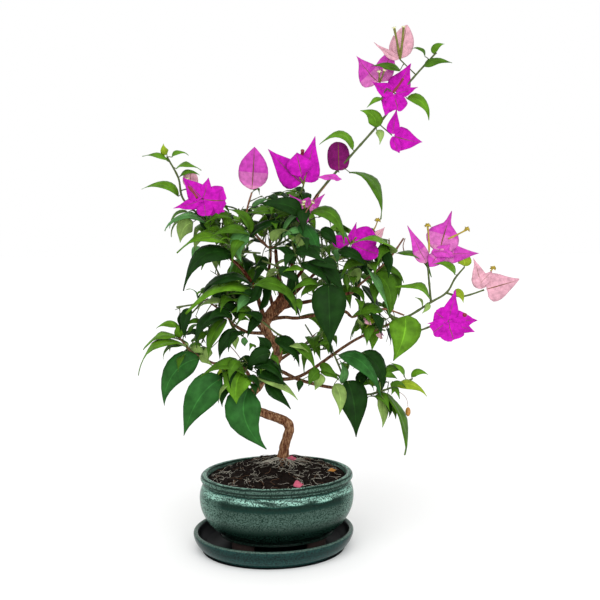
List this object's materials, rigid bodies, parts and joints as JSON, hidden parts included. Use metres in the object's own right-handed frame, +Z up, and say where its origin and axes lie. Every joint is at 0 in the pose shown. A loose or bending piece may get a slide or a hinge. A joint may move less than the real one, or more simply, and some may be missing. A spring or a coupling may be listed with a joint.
{
  "type": "potted bougainvillea bonsai",
  "caption": "Flowering bougainvillea bonsai with a bent trunk and long arching sprays, in an oval glazed footed pot that stands on a matching saucer.",
  "frame": {"origin": "on the flat underside of the saucer, below the middle of the pot", "axes": "+Z up; X along the pot's long axis; -Y to the front, the side the picture is taken from"},
  "size_m": [0.3764, 0.1886, 0.523],
  "materials": {
    "saucer_glaze": "glossy dark teal glaze",
    "pot_glaze": "glossy speckled green glaze, with unglazed brown feet",
    "soil_mix": "rough dark potting mix",
    "bark": "rough light brown bark",
    "leafage": "satin green leaves, with magenta and pink bracts"
  },
  "bodies": {
    "root": {"saucer": "saucer_glaze", "pot": "pot_glaze", "soil": "soil_mix", "trunk": "bark", "top_bough": "bark", "crown_bough": "bark", "right_high_bough": "bark", "right_mid_bough": "bark", "right_low_bough": "bark", "right_bottom_bough": "bark", "left_high_bough": "bark", "left_mid_bough": "bark", "left_low_bough": "bark", "front_low_bough": "bark", "front_mid_bough": "bark", "front_high_bough": "bark", "back_low_bough": "bark", "back_left_bough": "bark", "back_right_bough": "bark", "back_high_bough": "bark", "left_high_mass": "leafage", "crown_mass": "leafage", "top_spray_mass": "leafage", "right_high_mass": "leafage", "right_spray_mass": "leafage", "right_mid_mass": "leafage", "right_bottom_mass": "leafage", "left_mid_mass": "leafage", "left_low_mass": "leafage", "front_low_mass": "leafage", "front_mid_mass": "leafage", "front_high_mass": "leafage", "back_low_mass": "leafage", "back_left_mass": "leafage", "back_right_mass": "leafage", "back_high_mass": "leafage"}
  },
  "joints": []
}
